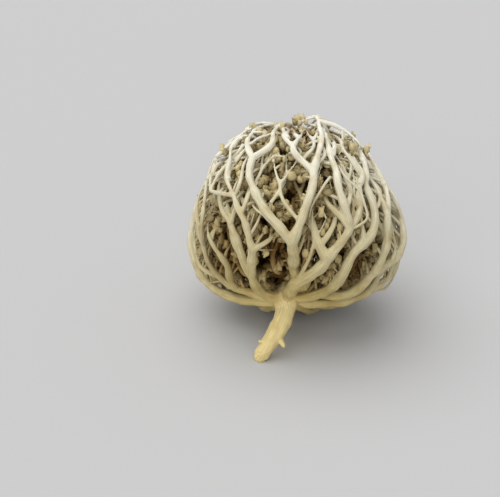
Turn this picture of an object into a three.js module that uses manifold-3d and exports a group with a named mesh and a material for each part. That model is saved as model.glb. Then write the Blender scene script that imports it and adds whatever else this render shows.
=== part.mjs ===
// Rose of Jericho (Anastatica hierochuntica), dried and closed: a woody taproot whose crown carries
// a cage of forked limbs that curl up and inwards round smaller inner limbs and sprays of seed pods.
// Units are millimetres. Row frame: +Z up, the plant lies on its root end and its lowest limbs.
//
// The plant is drawn in its own frame first: crown at the origin, +Z from the root to the closed top,
// -Y the side that faces up and forward once it lies down. A place on the ball is given as an azimuth
// round the axis (0 at -Y, growing towards +X), an arc from the crown (0) to the closed top (180),
// both in degrees, and a depth in millimetres below the ball's outer skin.
import * as THREE from "three";
import { mergeVertices } from "three/addons/utils/BufferGeometryUtils.js";
import Module from "manifold-3d";

// Driving dimensions of the ball.
const BALL_WIDTH = 84; // across the widest ring of limbs
const BALL_HEIGHT = 74; // from the crown to the closed top
const LOW_BELLY = 0.79; // under 1 puts the widest ring below the middle
const HEART = 0.45 * BALL_HEIGHT; // height of the point that depth is measured towards

// Driving dimensions of the crown and the root.
const CROWN_RADIUS = 5;
const FIRST_ARC = 3.7; // where a limb leaves the crown
const UPPER_TIER = 5.2; // how much higher every second limb leaves the crown
const TIER_FADES = 22; // the arc at which both tiers lie on the same skin
const GAP = 0.3; // clearance between neighbouring pieces
const WELD = 0.001; // corners closer than this are one corner

// How the plant lies: its axis leans back from upright, then turns and rolls a little.
const LEAN_BACK = 45;
const TURN = 1;
const ROLL = 5.3;

const SIDES = 5; // faces round a limb
const THIN_SIDES = 4; // faces round a limb thinner than THIN_RADIUS
const THIN_RADIUS = 1.2;
const STEP_LENGTH = 9; // how far apart the rings of a rod are, about

// Materials, one for each kind of surface on the plant.
const ROOT_BARK = new THREE.MeshStandardMaterial({ color: 0xd9c48c, roughness: 0.8, metalness: 0 });
const BLEACHED_BARK = new THREE.MeshStandardMaterial({ color: 0xcfc7a6, roughness: 0.85, metalness: 0 });
const SHADED_BARK = new THREE.MeshStandardMaterial({ color: 0xa8966a, roughness: 0.9, metalness: 0 });
const POD_HUSK = new THREE.MeshStandardMaterial({ color: 0xbda877, roughness: 0.9, metalness: 0 });

// A fork in a limb, with the stretches that leave it, and the far end of a stretch.
const fork = (azimuth, arc, depth, ...next) => ({ azimuth, arc, depth, next });
const tip = (azimuth, arc, depth) => ({ azimuth, arc, depth, next: [] });

// Where each limb of the front half leaves the crown and forks.
const FRONT_LIMBS = [
  {
    base: 45,
    tier: 1,
    width: 5.7,
    tree: fork(3, 27, 5,
      fork(-1, 46, 0,
        fork(-27, 101, 0, tip(-40, 128, 0.5), fork(-16, 113, 0.5, tip(-23, 137, 2))),
        fork(8, 92, -0.5, fork(-5, 110, 0, tip(-14, 129, 2), tip(1, 137, 4)), tip(15, 144, -1.5)))),
  },
  {
    base: -68,
    tier: 0,
    width: 5.0,
    tree: fork(-36, 22, 0,
      fork(-24.5, 42, 0,
        fork(-25, 58, 0,
          fork(-33, 77, 0,
            fork(-50, 84, 0, tip(-59, 108, -0.5), tip(-49, 103, 2)),
            fork(-41, 99, 0, tip(-53, 133, -0.5)))),
        tip(-13, 49, 5)),
      fork(-37, 50, 4, tip(-43, 74, 5))),
  },
  {
    base: -98,
    tier: 0,
    width: 4.2,
    tree: fork(-90, 18, 1,
      fork(-99, 32, 4,
        fork(-84, 55, 6, tip(-88, 112, 2), fork(-64, 72, 4, tip(-70, 126, 0)))),
      fork(-62, 34, 5, tip(-62, 58, 5))),
  },
  {
    base: -5,
    tier: 0,
    width: 5.7,
    tree: fork(22, 40, 0,
      fork(13, 55, 4, tip(8, 70, 8)),
      fork(30, 61, 0,
        tip(17, 82, 6),
        fork(21, 93, -1, tip(17, 121, 0)),
        tip(38, 96, 2))),
  },
  {
    base: 62,
    tier: 0,
    width: 4.6,
    tree: fork(37, 48, 0,
      fork(46, 67, 0, fork(43, 97, 2, tip(33, 122, 2), tip(50, 132, 0.5)))),
  },
  {
    base: 87,
    tier: 1,
    width: 5.0,
    tree: fork(66, 44, 0,
      fork(57, 78, 0, tip(54, 108, 3), tip(66, 126, 0.5)),
      fork(79, 68, -2, tip(77, 114, 1), tip(87, 103, 3))),
  },
  {
    base: 108,
    tier: 0,
    width: 4.4,
    tree: fork(90, 33, 0,
      fork(97, 66, -1, tip(94, 126, 2), tip(107, 138, 3)),
      tip(84, 58, 5)),
  },
];

// The limbs of the back half follow one pattern, each with its own small changes.
const BACK_LIMBS = 6;
const BACK_FROM = 132;
const BACK_SPACING = 22.5;
const BACK_WIDTH = 4.8;
const BACK_SEED = 10;
const OUTER_BULGE = -0.4;
const INNER_BULGE = 1.4;

// A number from 0 to 1 that looks random and is always the same for one seed.
function chance(seed) {
  const scrambled = Math.sin(seed * 12.9898 + 4.1) * 43758.5453;
  return scrambled - Math.floor(scrambled);
}

// A number from -size to size.
const sway = (seed, size) => (2 * chance(seed) - 1) * size;

function backLimb(index) {
  const base = BACK_FROM + index * BACK_SPACING;
  const seed = BACK_SEED * (index + 1);
  const outer = index % 2; // every second limb bulges a little more, and the plant lies on two of those
  const bulge = outer ? OUTER_BULGE : INNER_BULGE;
  const first = 38 + sway(seed, 5);
  const left = 80 + sway(seed + 1, 9);
  const right = 90 + sway(seed + 2, 9);
  return {
    base,
    tier: 1 - outer,
    width: BACK_WIDTH + sway(seed + 3, 0.4),
    tree: fork(base, first, bulge,
      fork(base - 7, left, bulge,
        tip(base - 13, 124 + sway(seed + 4, 8), 1),
        tip(base - 3.5, 152, 5)),
      fork(base + 5.5, right, bulge,
        tip(base + 1.5, 126 + sway(seed + 5, 6), 5),
        tip(base + 9, 148 + sway(seed + 6, 8), 1))),
  };
}

// The smaller limbs inside the cage: one pale thin shoot near the front, and the rest in a ring.
const INNER_LIMBS = 8;
const INNER_FROM = 28;
const INNER_SPACING = 45;
const INNER_SEED = 200;
const INNER_SEED_STEP = 10;
const INNER_TIER = 2.1; // these leave the knob above both tiers of the cage
const INNER_WIDTH = 2.6;

function innerLimb(index) {
  const base = INNER_FROM + index * INNER_SPACING;
  const seed = INNER_SEED + INNER_SEED_STEP * index;
  return {
    base,
    tier: INNER_TIER,
    width: INNER_WIDTH,
    tree: fork(base, 58 + sway(seed, 6), 17,
      tip(base - 13, 108 + sway(seed + 1, 8), 12),
      tip(base + 11, 142 + sway(seed + 2, 8), 10)),
  };
}

const FRONT_SHOOT = {
  base: 12,
  tier: 1.3,
  width: 2.0,
  tree: fork(11, 36, 4.5, tip(10.5, 62, 7)),
};

// Sprays of seed pods: a short stalk out of the inner side of a fork, with pods on both sides.
const SPRAY_DEPTH = 8.5; // how far inside its fork a spray ends
const SPRAY_SPAN = 24; // degrees of arc that one stalk runs along
const SPRAY_FROM_ARC = 38; // a cage limb bears its spray at its first fork past this arc
const SPRAY_FORK_REACH = 0.3; // the share of the stalk that is bare
const POD_RADIUS = 1.9;
const PODS_PER_SPRAY = 4;
const POD_OFFSET = 1.8;
const STALK_RADIUS = 0.9;
const STALK_END_RADIUS = 0.6;
const SPRAY_SEED = 430;
const SPRAY_SWAY = 5; // degrees that a stalk strays sideways

const smoothstep = (t) => t * t * (3 - 2 * t);

// A point of the plant, in its own frame. lift raises a limb where it leaves the crown.
function place(azimuth, arc, depth, lift = 0) {
  const up = arc / 180;
  const out = (BALL_WIDTH / 2) * Math.sin(Math.PI * up ** LOW_BELLY);
  const turn = THREE.MathUtils.degToRad(azimuth);
  const skin = new THREE.Vector3(
    out * Math.sin(turn),
    -out * Math.cos(turn),
    (BALL_HEIGHT / 2) * (1 - Math.cos(Math.PI * up)),
  );
  const inward = new THREE.Vector3(0, 0, HEART).sub(skin).normalize();
  skin.addScaledVector(inward, depth);
  skin.z += lift * UPPER_TIER * (1 - smoothstep(Math.min(1, arc / TIER_FADES)));
  return skin;
}

// One stretch of a limb: it swings out of its fork first, and then runs straight up the ball.
class Stretch extends THREE.Curve {
  constructor(from, to, tier) {
    super();
    this.from = from;
    this.to = to;
    this.tier = tier;
  }

  getPoint(t, target = new THREE.Vector3()) {
    const { from, to, tier } = this;
    const swing = Math.sin((t * Math.PI) / 2);
    const azimuth = from.azimuth + (to.azimuth - from.azimuth) * swing;
    const arc = from.arc + (to.arc - from.arc) * t;
    const depth = from.depth + (to.depth - from.depth) * smoothstep(t);
    return target.copy(place(azimuth, arc, depth, tier));
  }
}

const wasm = await Module();
wasm.setup();

// Turns a closed three.js geometry into a solid that can be joined and cut.
function solidOf(geometry) {
  const bare = geometry.clone();
  bare.deleteAttribute("normal");
  bare.deleteAttribute("uv");
  const merged = mergeVertices(bare, WELD);
  return new wasm.Manifold(new wasm.Mesh({
    numProp: 3,
    vertProperties: merged.attributes.position.array,
    triVerts: new Uint32Array(merged.index.array),
  }));
}

function geometryOf(solid) {
  const mesh = solid.getMesh();
  const geometry = new THREE.BufferGeometry();
  geometry.setAttribute("position", new THREE.BufferAttribute(new Float32Array(mesh.vertProperties), 3));
  geometry.setIndex(new THREE.BufferAttribute(new Uint32Array(mesh.triVerts), 1));
  geometry.computeVertexNormals();
  return geometry;
}

// A tapering rod along a curve: a cylinder whose rings are moved onto the curve.
function rod(curve, startRadius, endRadius) {
  const steps = Math.max(2, Math.round(curve.getLength() / STEP_LENGTH));
  const sides = startRadius < THIN_RADIUS ? THIN_SIDES : SIDES;
  const cylinder = new THREE.CylinderGeometry(1, 1, 1, sides, steps);
  const frames = curve.computeFrenetFrames(steps, false);
  const position = cylinder.attributes.position;
  const moved = new THREE.Vector3();
  for (let i = 0; i < position.count; i++) {
    const along = 0.5 + position.getY(i);
    const ring = Math.round(along * steps);
    const radius = startRadius + (endRadius - startRadius) * along;
    moved.copy(curve.getPointAt(along));
    moved.addScaledVector(frames.normals[ring], position.getZ(i) * radius);
    moved.addScaledVector(frames.binormals[ring], position.getX(i) * radius);
    position.setXYZ(i, moved.x, moved.y, moved.z);
  }
  return solidOf(cylinder);
}

function ball(centre, radius) {
  const sphere = new THREE.IcosahedronGeometry(radius);
  sphere.translate(centre.x, centre.y, centre.z);
  return solidOf(sphere);
}

// How thick a stretch is where it starts and ends: each fork is a step thinner.
const THINNING = 0.8;
const BEND_THINNING = 0.92; // the same where a limb only bends
const TIP_SHARE = 0.5;
const KNUCKLE = 1.25; // how much thicker than the limb a fork's knuckle is

// A limb as one solid: every stretch of its tree, with a knuckle at each fork. extra fattens it.
function limbSolid(limb, extra = 0) {
  const root = { azimuth: limb.base, arc: FIRST_ARC, depth: 0, next: [limb.tree] };
  const parts = [];
  const grow = (from, radius) => {
    for (const to of from.next) {
      const ends = to.next.length === 0;
      const share = to.next.length > 1 ? THINNING : BEND_THINNING;
      const endRadius = ends ? radius * TIP_SHARE : radius * share;
      parts.push(rod(new Stretch(from, to, limb.tier), radius + extra, endRadius + extra));
      if (!ends) {
        parts.push(ball(place(to.azimuth, to.arc, to.depth, limb.tier), KNUCKLE * endRadius + extra));
        grow(to, endRadius);
      }
    }
  };
  grow(root, limb.width / 2);
  return parts.reduce((joined, part) => joined.add(part));
}

// The root: a crown knob, a bent taproot that tapers to a broken end, and one snapped side root.
const KNOB_OUTLINE = [ // radius and height
  [0, -4.6], [3.6, -4.4], [4.9, -2.6], [CROWN_RADIUS, 0],
  [CROWN_RADIUS, 7.2], [4.6, 9], [2.6, 10.2], [0, 10.6],
];
const KNOB_SIDES = 14;
const TAP_LINE = [[0, 0, -2], [-0.6, -0.6, -8], [-3.4, -0.6, -13.5], [-6.2, 1.0, -18.5], [-8.4, 3.2, -22.3]];
const TAP_RADIUS = 4.3;
const TAP_END_RADIUS = 2.7;
const SIDE_LINE = [[-3, -0.8, -13], [-1.2, -0.8, -16.2], [0.2, -1.6, -18.6]];
const SIDE_RADIUS = 1.5;
const SIDE_END_RADIUS = 0.8;

function rootLine(points) {
  return new THREE.CatmullRomCurve3(points.map((point) => new THREE.Vector3(...point)), false, "centripetal");
}

function rootSolid() {
  const knob = new THREE.LatheGeometry(KNOB_OUTLINE.map((point) => new THREE.Vector2(...point)), KNOB_SIDES);
  knob.rotateX(Math.PI / 2);
  return solidOf(knob)
    .add(rod(rootLine(TAP_LINE), TAP_RADIUS, TAP_END_RADIUS))
    .add(rod(rootLine(SIDE_LINE), SIDE_RADIUS, SIDE_END_RADIUS));
}

// The fork that bears a limb's spray of pods.
function sprayFork(tree, fromArc) {
  let bearer = tree;
  while (bearer.arc < fromArc && bearer.next.length > 0) {
    bearer = bearer.next[0];
  }
  return bearer;
}

// A spray of pods: a thin stalk that rises inside the fork, with pods to its left and right in turn.
function spraySolid(bearer, index, extra = 0) {
  const end = {
    azimuth: bearer.azimuth + sway(SPRAY_SEED + index, SPRAY_SWAY),
    arc: bearer.arc + SPRAY_SPAN,
    depth: bearer.depth + SPRAY_DEPTH,
  };
  const stalk = new Stretch(bearer, end, 0);
  const turn = THREE.MathUtils.degToRad(bearer.azimuth);
  const parts = [rod(stalk, STALK_RADIUS + extra, STALK_END_RADIUS + extra)];
  for (let pod = 0; pod < PODS_PER_SPRAY; pod++) {
    const along = SPRAY_FORK_REACH + (1 - SPRAY_FORK_REACH) * ((pod + 0.9) / PODS_PER_SPRAY);
    const centre = stalk.getPoint(along);
    const side = (pod % 2 === 0 ? 1 : -1) * POD_OFFSET;
    centre.x += side * Math.cos(turn);
    centre.y += side * Math.sin(turn);
    parts.push(ball(centre, POD_RADIUS + extra));
  }
  return parts.reduce((joined, part) => joined.add(part));
}

// Pieces are made in order, and each is cut clear of the ones before it where it would touch them.
const plant = new THREE.Group();
const placed = [];

// The largest closed shell of a solid: a cut can leave crumbs, and a join can leave a pinhole inside.
function largestShell(solid) {
  const shells = solidOf(geometryOf(solid)).decompose();
  return shells.reduce((most, shell) => (shell.volume() > most.volume() ? shell : most));
}

function clearOf(solid) {
  let kept = solid;
  for (const { fat, box } of placed) {
    const own = kept.boundingBox();
    const apart = [0, 1, 2].some((k) => own.min[k] > box.max[k] || own.max[k] < box.min[k]);
    if (!apart) {
      kept = kept.subtract(fat);
    }
  }
  return largestShell(kept);
}

function addPiece(name, material, solid, fat) {
  const mesh = new THREE.Mesh(geometryOf(clearOf(solid)), material);
  mesh.name = name;
  plant.add(mesh);
  placed.push({ fat, box: fat.boundingBox() });
}

const numbered = (word, index) => `${word}_${String(index + 1).padStart(2, "0")}`;

const root = rootSolid();
addPiece("taproot", ROOT_BARK, root, root);

const cage = [...FRONT_LIMBS, ...Array.from({ length: BACK_LIMBS }, (_, i) => backLimb(i))];
cage.forEach((limb, i) => {
  addPiece(numbered("limb", i), BLEACHED_BARK, limbSolid(limb), limbSolid(limb, GAP));
});

const inside = [FRONT_SHOOT, ...Array.from({ length: INNER_LIMBS }, (_, i) => innerLimb(i))];
inside.forEach((limb, i) => {
  addPiece(numbered("inner_limb", i), SHADED_BARK, limbSolid(limb), limbSolid(limb, GAP));
});

const bearers = [
  ...cage.map((limb) => sprayFork(limb.tree, SPRAY_FROM_ARC)),
  ...inside.slice(1).map((limb) => limb.tree),
];
bearers.forEach((bearer, i) => {
  addPiece(numbered("pod_spray", i), POD_HUSK, spraySolid(bearer, i), spraySolid(bearer, i, GAP));
});

// Lays the plant down, then sets its lowest point on the ground and its box over the origin.
plant.rotation.order = "ZXY";
plant.rotation.set(
  THREE.MathUtils.degToRad(-LEAN_BACK),
  THREE.MathUtils.degToRad(ROLL),
  THREE.MathUtils.degToRad(TURN),
);
const laid = new THREE.Group();
laid.add(plant);
laid.updateMatrixWorld(true);
const box = new THREE.Box3().setFromObject(plant, true);
plant.position.set(-(box.min.x + box.max.x) / 2, -(box.min.y + box.max.y) / 2, -box.min.z);

export default laid;
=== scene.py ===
# %% [markdown]
# # A dried rose of Jericho
#
# The plant is a woody taproot with a cage of forked limbs. When it dries, the limbs curl up and
# inwards until their tips meet, and hundreds of small seed pods are shut inside. This lesson grows
# it the way a modeller would study it: routes first, then round stems along the routes, then the
# stems fused into one skin, then bark, pods and light.

# %% Load the frame
import math
import random

import bmesh
import bpy
import numpy as np
from mathutils import Matrix, Vector, kdtree, noise


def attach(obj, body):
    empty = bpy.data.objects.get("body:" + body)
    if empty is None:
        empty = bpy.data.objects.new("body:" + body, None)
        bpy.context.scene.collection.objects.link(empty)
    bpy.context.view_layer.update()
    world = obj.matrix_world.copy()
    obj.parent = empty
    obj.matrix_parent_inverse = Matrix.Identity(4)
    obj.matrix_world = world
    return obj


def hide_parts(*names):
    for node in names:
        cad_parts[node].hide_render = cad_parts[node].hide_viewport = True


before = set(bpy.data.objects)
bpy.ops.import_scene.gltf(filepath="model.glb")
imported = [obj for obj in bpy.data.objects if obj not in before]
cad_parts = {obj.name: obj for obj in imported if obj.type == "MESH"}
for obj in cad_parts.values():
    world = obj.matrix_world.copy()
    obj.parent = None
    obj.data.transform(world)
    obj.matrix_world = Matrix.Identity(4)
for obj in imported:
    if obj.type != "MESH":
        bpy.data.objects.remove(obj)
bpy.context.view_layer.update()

print("nodes in the frame:", len(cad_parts))

# %% [markdown]
# ## Where things are on the plant
#
# Everything is drawn in the plant's own frame, in millimetres: the crown is at the origin, +Z runs
# from the root to the closed top, and -Y is the side that faces up and forward once the plant lies
# down. A place is an azimuth round the axis, an arc from the crown (0) to the closed top (180), both
# in degrees, and a depth below the skin of the ball. One matrix lays the finished meshes down.

# %% The ball and how it lies
MM = 0.001
BALL_WIDTH = 84.0  # across the widest ring of limbs
BALL_HEIGHT = 74.0  # from the crown to the closed top
LOW_BELLY = 0.79  # under 1 puts the widest ring below the middle
HEART = Vector((0.0, 0.0, 0.45 * BALL_HEIGHT))  # the point that depth is measured towards
FIRST_ARC = 3.7  # where a limb leaves the crown
UPPER_TIER = 5.2  # how much higher every second limb leaves the crown
TIER_FADES = 22.0  # the arc at which both tiers lie on the same skin

CROWN_LIES_AT = Vector((-3.63, -20.78, 18.93))
LEAN_BACK, ROLL, TURN = (math.radians(angle) for angle in (45.0, 5.3, 1.0))
LAID = (
    Matrix.Translation(CROWN_LIES_AT)
    @ Matrix.Rotation(TURN, 4, "Z")
    @ Matrix.Rotation(-LEAN_BACK, 4, "X")
    @ Matrix.Rotation(ROLL, 4, "Y")
)
TO_ROW = Matrix.Scale(MM, 4) @ LAID  # plant frame in millimetres to the row frame in metres


def smoothstep(t):
    return t * t * (3.0 - 2.0 * t)


def place(azimuth, arc, depth, tier=0.0):
    """A point of the plant, in its own frame. tier raises a limb where it leaves the crown."""
    up = arc / 180.0
    out = (BALL_WIDTH / 2.0) * math.sin(math.pi * up**LOW_BELLY)
    turn = math.radians(azimuth)
    height = (BALL_HEIGHT / 2.0) * (1.0 - math.cos(math.pi * up))
    skin = Vector((out * math.sin(turn), -out * math.cos(turn), height))
    skin += (HEART - skin).normalized() * depth
    skin.z += tier * UPPER_TIER * (1.0 - smoothstep(min(1.0, arc / TIER_FADES)))
    return skin


print("crown in the row frame, mm:", [round(value, 1) for value in LAID.to_translation()])
print("closed top, mm:", [round(value, 1) for value in LAID @ place(0, 180, 0)])

# %% [markdown]
# ## The limbs as forking routes
#
# A limb is a small tree of forks. Writing it as nested calls keeps the branching readable: each fork
# names its place and what leaves it. The limbs of the front half are individual, because they are the
# ones that are seen. The back half follows one pattern with small changes, as the real limbs do.

# %% Forks and tips
def fork(azimuth, arc, depth, *onward):
    return {"at": (azimuth, arc, depth), "onward": onward}


def tip(azimuth, arc, depth):
    return fork(azimuth, arc, depth)


print("a fork with one tip:", fork(0, 20, 0, tip(5, 40, 1)))

# %% The cage limbs of the front half
FRONT_LIMBS = [
    {"base": 45, "tier": 1, "width": 5.7, "tree":
        fork(3, 27, 5,
             fork(-1, 46, 0,
                  fork(-27, 101, 0, tip(-40, 128, 0.5), fork(-16, 113, 0.5, tip(-23, 137, 2))),
                  fork(8, 92, -0.5,
                       fork(-5, 110, 0, tip(-14, 129, 2), tip(1, 137, 4)),
                       tip(15, 144, -1.5))))},
    {"base": -68, "tier": 0, "width": 5.0, "tree":
        fork(-36, 22, 0,
             fork(-24.5, 42, 0,
                  fork(-25, 58, 0,
                       fork(-33, 77, 0,
                            fork(-50, 84, 0, tip(-59, 108, -0.5), tip(-49, 103, 2)),
                            fork(-41, 99, 0, tip(-53, 133, -0.5)))),
                  tip(-13, 49, 5)),
             fork(-37, 50, 4, tip(-43, 74, 5)))},
    {"base": -98, "tier": 0, "width": 4.2, "tree":
        fork(-90, 18, 1,
             fork(-99, 32, 4,
                  fork(-84, 55, 6, tip(-88, 112, 2), fork(-64, 72, 4, tip(-70, 126, 0)))),
             fork(-62, 34, 5, tip(-62, 58, 5)))},
    {"base": -5, "tier": 0, "width": 5.7, "tree":
        fork(22, 40, 0,
             fork(13, 55, 4, tip(8, 70, 8)),
             fork(30, 61, 0,
                  tip(17, 82, 6),
                  fork(21, 93, -1, tip(17, 121, 0)),
                  tip(38, 96, 2)))},
    {"base": 62, "tier": 0, "width": 4.6, "tree":
        fork(37, 48, 0,
             fork(46, 67, 0, fork(43, 97, 2, tip(33, 122, 2), tip(50, 132, 0.5))))},
    {"base": 87, "tier": 1, "width": 5.0, "tree":
        fork(66, 44, 0,
             fork(57, 78, 0, tip(54, 108, 3), tip(66, 126, 0.5)),
             fork(79, 68, -2, tip(77, 114, 1), tip(87, 103, 3)))},
    {"base": 108, "tier": 0, "width": 4.4, "tree":
        fork(90, 33, 0,
             fork(97, 66, -1, tip(94, 126, 2), tip(107, 138, 3)),
             tip(84, 58, 5))},
]
print("front limbs:", len(FRONT_LIMBS))


# %% The cage limbs of the back half
BACK_LIMBS = 6
BACK_FROM = 132.0
BACK_SPACING = 22.5
BACK_WIDTH = 4.8


def chance(seed):
    """A number from 0 to 1 that looks random and is always the same for one seed."""
    scrambled = math.sin(seed * 12.9898 + 4.1) * 43758.5453
    return scrambled - math.floor(scrambled)


def sway(seed, size):
    return (2.0 * chance(seed) - 1.0) * size


def back_limb(index):
    base = BACK_FROM + index * BACK_SPACING
    seed = 10 * (index + 1)
    outer = index % 2  # every second limb bulges a little more, and the plant lies on two of those
    bulge = -0.4 if outer else 1.4
    first = 38 + sway(seed, 5)
    left = 80 + sway(seed + 1, 9)
    right = 90 + sway(seed + 2, 9)
    tree = fork(base, first, bulge,
                fork(base - 7, left, bulge,
                     tip(base - 13, 124 + sway(seed + 4, 8), 1),
                     tip(base - 3.5, 152, 5)),
                fork(base + 5.5, right, bulge,
                     tip(base + 1.5, 126 + sway(seed + 5, 6), 5),
                     tip(base + 9, 148 + sway(seed + 6, 8), 1)))
    return {"base": base, "tier": 1 - outer, "width": BACK_WIDTH + sway(seed + 3, 0.4), "tree": tree}


CAGE = FRONT_LIMBS + [back_limb(index) for index in range(BACK_LIMBS)]
print("cage limbs:", len(CAGE))

# %% [markdown]
# ## Side arms, curls and inner limbs
#
# Thinner arms leave the limbs and fill the cage. Those that are seen from the front are listed one by
# one, each as a width and a route that starts on its limb. All the others come from a rule: a long
# stretch gets one arm, which turns aside under the skin and forks. The closed top is made of the
# thin curls at the ends of all limbs. A real plant closes in the same way, as every tip dries inwards.

# %% Side arms that show on the front
FRONT_SIDE_ARMS = {  # for each limb: the width of an arm, and where it leaves and goes
    0: [(2.1, fork(2, 60, 1, fork(-9, 84, 1.5, tip(-15, 104, 1.5), tip(-4, 98, 3)))),
        (1.2, fork(-15, 63, 0, tip(-23, 70, 0.5))),
        (1.4, fork(9, 98, 0, fork(16, 108, 0.5, tip(13, 126, 2)))),
        (2.3, fork(15, 137, -1.5, fork(29, 136, -1.5, tip(47, 122, -1)))),
        (1.9, fork(15, 137, -1.5, fork(12, 146, -1.5, tip(4, 151, 1.5))))],
    1: [(2.6, fork(-40, 60, 4, fork(-47, 80, 3.5, tip(-54, 98, 4), tip(-45, 97, 6)))),
        (1.6, fork(-33, 76, 0, fork(-31, 90, 1, tip(-35, 108, 3)))),
        (1.5, fork(-25, 50, 0.5, tip(-19, 64, 3)))],
    2: [(2.6, fork(-99, 32, 4, fork(-106, 50, 2, tip(-101, 82, 3), tip(-112, 76, 3)))),
        (1.8, fork(-70, 66, 4.5, fork(-74, 84, 2.5, tip(-71, 110, 3)))),
        (1.0, fork(-97, 27, 3, tip(-118, 47, -1)))],
    3: [(1.3, fork(31, 62, -0.5, fork(38, 71, -2, fork(33, 84, -2, tip(22, 99, -1))))),
        (2.8, fork(37.5, 92, 1.5, fork(42, 105, 2, tip(33, 120, 2)))),
        (1.2, fork(17, 92, 0, tip(8, 64, 1.5)))],
    4: [(2.0, fork(45, 79, 1, fork(56, 92, 1.5, tip(55, 110, 3)))),
        (1.6, fork(39, 52, 0.5, tip(33, 60, 3)))],
    5: [(1.8, fork(70, 8, 1, fork(47, 20, 1, tip(36, 33, 1)))),
        (2.2, fork(60, 62, 0, fork(66, 76, 2, tip(62, 96, 4)))),
        (1.8, fork(78, 84, -1.5, tip(70, 98, 0.5)))],
    6: [(2.0, fork(95, 52, -0.5, fork(88, 68, 1, tip(90, 92, 2), tip(82, 84, 4)))),
        (1.0, fork(90, 36, -0.5, fork(99, 44, -3, tip(97, 58, -2))))],
}
print("front side arms:", sum(len(arms) for arms in FRONT_SIDE_ARMS.values()))


# %% Side arms by rule
ARM_FROM_ARC = 34.0  # below this a limb has no side arm
ARM_STRETCH = 14  # the shortest stretch that bears an arm, in degrees of arc
ARM_START = 0.45  # where on its stretch an arm starts
ARM_TURN = 7.0  # how far it turns aside, in degrees of azimuth
ARM_RISE = 24  # how far up it forks, in degrees of arc
ARM_SINK = 3.4  # how far it dives under the skin of the ball, in millimetres
ARM_WIDTH = 2.3


def side_arms(limb, seed):
    """An arm for every long stretch of a limb, that turns aside under the skin and forks there."""
    arms = []

    def walk(start, node, seed):
        azimuth, arc, depth = (a + (b - a) * ARM_START for a, b in zip(start, node["at"]))
        if node["at"][1] > ARM_FROM_ARC and node["at"][1] - start[1] > ARM_STRETCH:
            side = 1.0 if chance(seed) > 0.5 else -1.0
            aside = side * (ARM_TURN + sway(seed + 0.1, 2.0))
            far = min(142.0, arc + ARM_RISE + sway(seed + 0.2, 6))
            low = depth + ARM_SINK + sway(seed + 0.3, 1.2)
            ends = [tip(azimuth + 0.5 * aside, min(152.0, far + 25), low + 1.5),
                    tip(azimuth + 1.9 * aside, min(148.0, far + 19), low - 1.0)]
            route = fork(azimuth, arc, depth, fork(azimuth + aside, far, low, *ends))
            arms.append((ARM_WIDTH + sway(seed + 0.4, 0.4), route))
        for number, onward in enumerate(node["onward"]):
            walk(node["at"], onward, seed * 1.7 + number + 3.1)

    walk((limb["base"], FIRST_ARC, 0.0), limb["tree"], seed)
    return arms


print("side arms of the first limb by rule:", len(side_arms(CAGE[0], 1.0)))

# %% Curled tips
CURL_FROM_ARC = 98.0  # a tip past this arc curls on towards the closed top
CURL_RISE = 15  # how far it runs on before it forks, in degrees of arc
CURL_TURN = 9.0  # how far it may turn aside, in degrees of azimuth
CURL_WIDTH = 1.6


def curled_tips(limb, seed):
    """A thin forked curl at the end of every high tip. Together they close the top of the ball."""
    curls = []

    def walk(node, seed):
        azimuth, arc, depth = node["at"]
        if not node["onward"] and arc > CURL_FROM_ARC:
            aside = sway(seed, CURL_TURN)
            over = min(150.0, arc + CURL_RISE + sway(seed + 0.1, 5))
            ends = [tip(azimuth + 2.4 * aside, min(168.0, over + 17), depth + 4.0),
                    tip(azimuth + aside - 14, min(163.0, over + 12 + sway(seed + 0.2, 5)), depth + 3.0),
                    tip(azimuth + aside + 15, min(172.0, over + 22 + sway(seed + 0.3, 5)), depth + 4.5)]
            route = fork(azimuth, arc, depth, fork(azimuth + aside, over, depth + 0.8, *ends))
            curls.append((CURL_WIDTH, route))
        for number, onward in enumerate(node["onward"]):
            walk(onward, seed * 1.6 + number + 2.3)

    walk(limb["tree"], seed)
    return curls


print("curls of the first limb:", len(curled_tips(CAGE[0], 1.0)))

# %% The smaller limbs inside the cage
INNER_LIMBS = 8
INNER_FROM = 28.0
INNER_SPACING = 45.0
INNER_TIER = 2.1
INNER_WIDTH = 2.6

FRONT_SHOOT = {"base": 12, "tier": 1.3, "width": 2.0, "tree": fork(11, 36, 4.5, tip(10.5, 62, 7))}


def inner_limb(index):
    base = INNER_FROM + index * INNER_SPACING
    seed = 200 + 10 * index
    tree = fork(base, 58 + sway(seed, 6), 17,
                tip(base - 13, 108 + sway(seed + 1, 8), 12),
                tip(base + 11, 142 + sway(seed + 2, 8), 10))
    return {"base": base, "tier": INNER_TIER, "width": INNER_WIDTH, "tree": tree}


INSIDE = [FRONT_SHOOT] + [inner_limb(index) for index in range(INNER_LIMBS)]
print("inner limbs:", len(INSIDE))

# %% [markdown]
# ## From a route to points and thicknesses
#
# Each stretch between two forks swings out of its fork first and then runs straight up the ball, which
# gives the open Y shape of the real forks. A slow wobble, read from the place itself, bends
# neighbours together and still lets the stretches of one fork meet.

# %% Routes
ROUTE_STEP = 1.5  # how far apart the points of a route are, in millimetres
WOBBLE = 0.9  # how far a limb strays from its smooth route
WOBBLE_LENGTH = 13.0  # over what distance it strays
KINK = 0.7  # the small kinks on top of that
KINK_LENGTH = 5.0
KNOBBLY = 0.3  # how far a stem's thickness wanders, as a share of it
KNOB_LENGTH = 4.0
THINNING = 0.8  # how much thinner a limb is past a fork
BEND_THINNING = 0.92  # the same where a limb only bends
TIP_SHARE = 0.5  # and how thick its tip is
SLACK = 1.08  # a bowed stretch is this much longer than its chord
ROUND_PASSES = 6  # how often a bend is averaged with its neighbours
FOOT_RISE = 4.0  # how much higher the foot of an upper limb is in the knob
FOOT_SHARES = (0.66, 0.33)  # where the points of the foot lie on the way out of the knob


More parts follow.
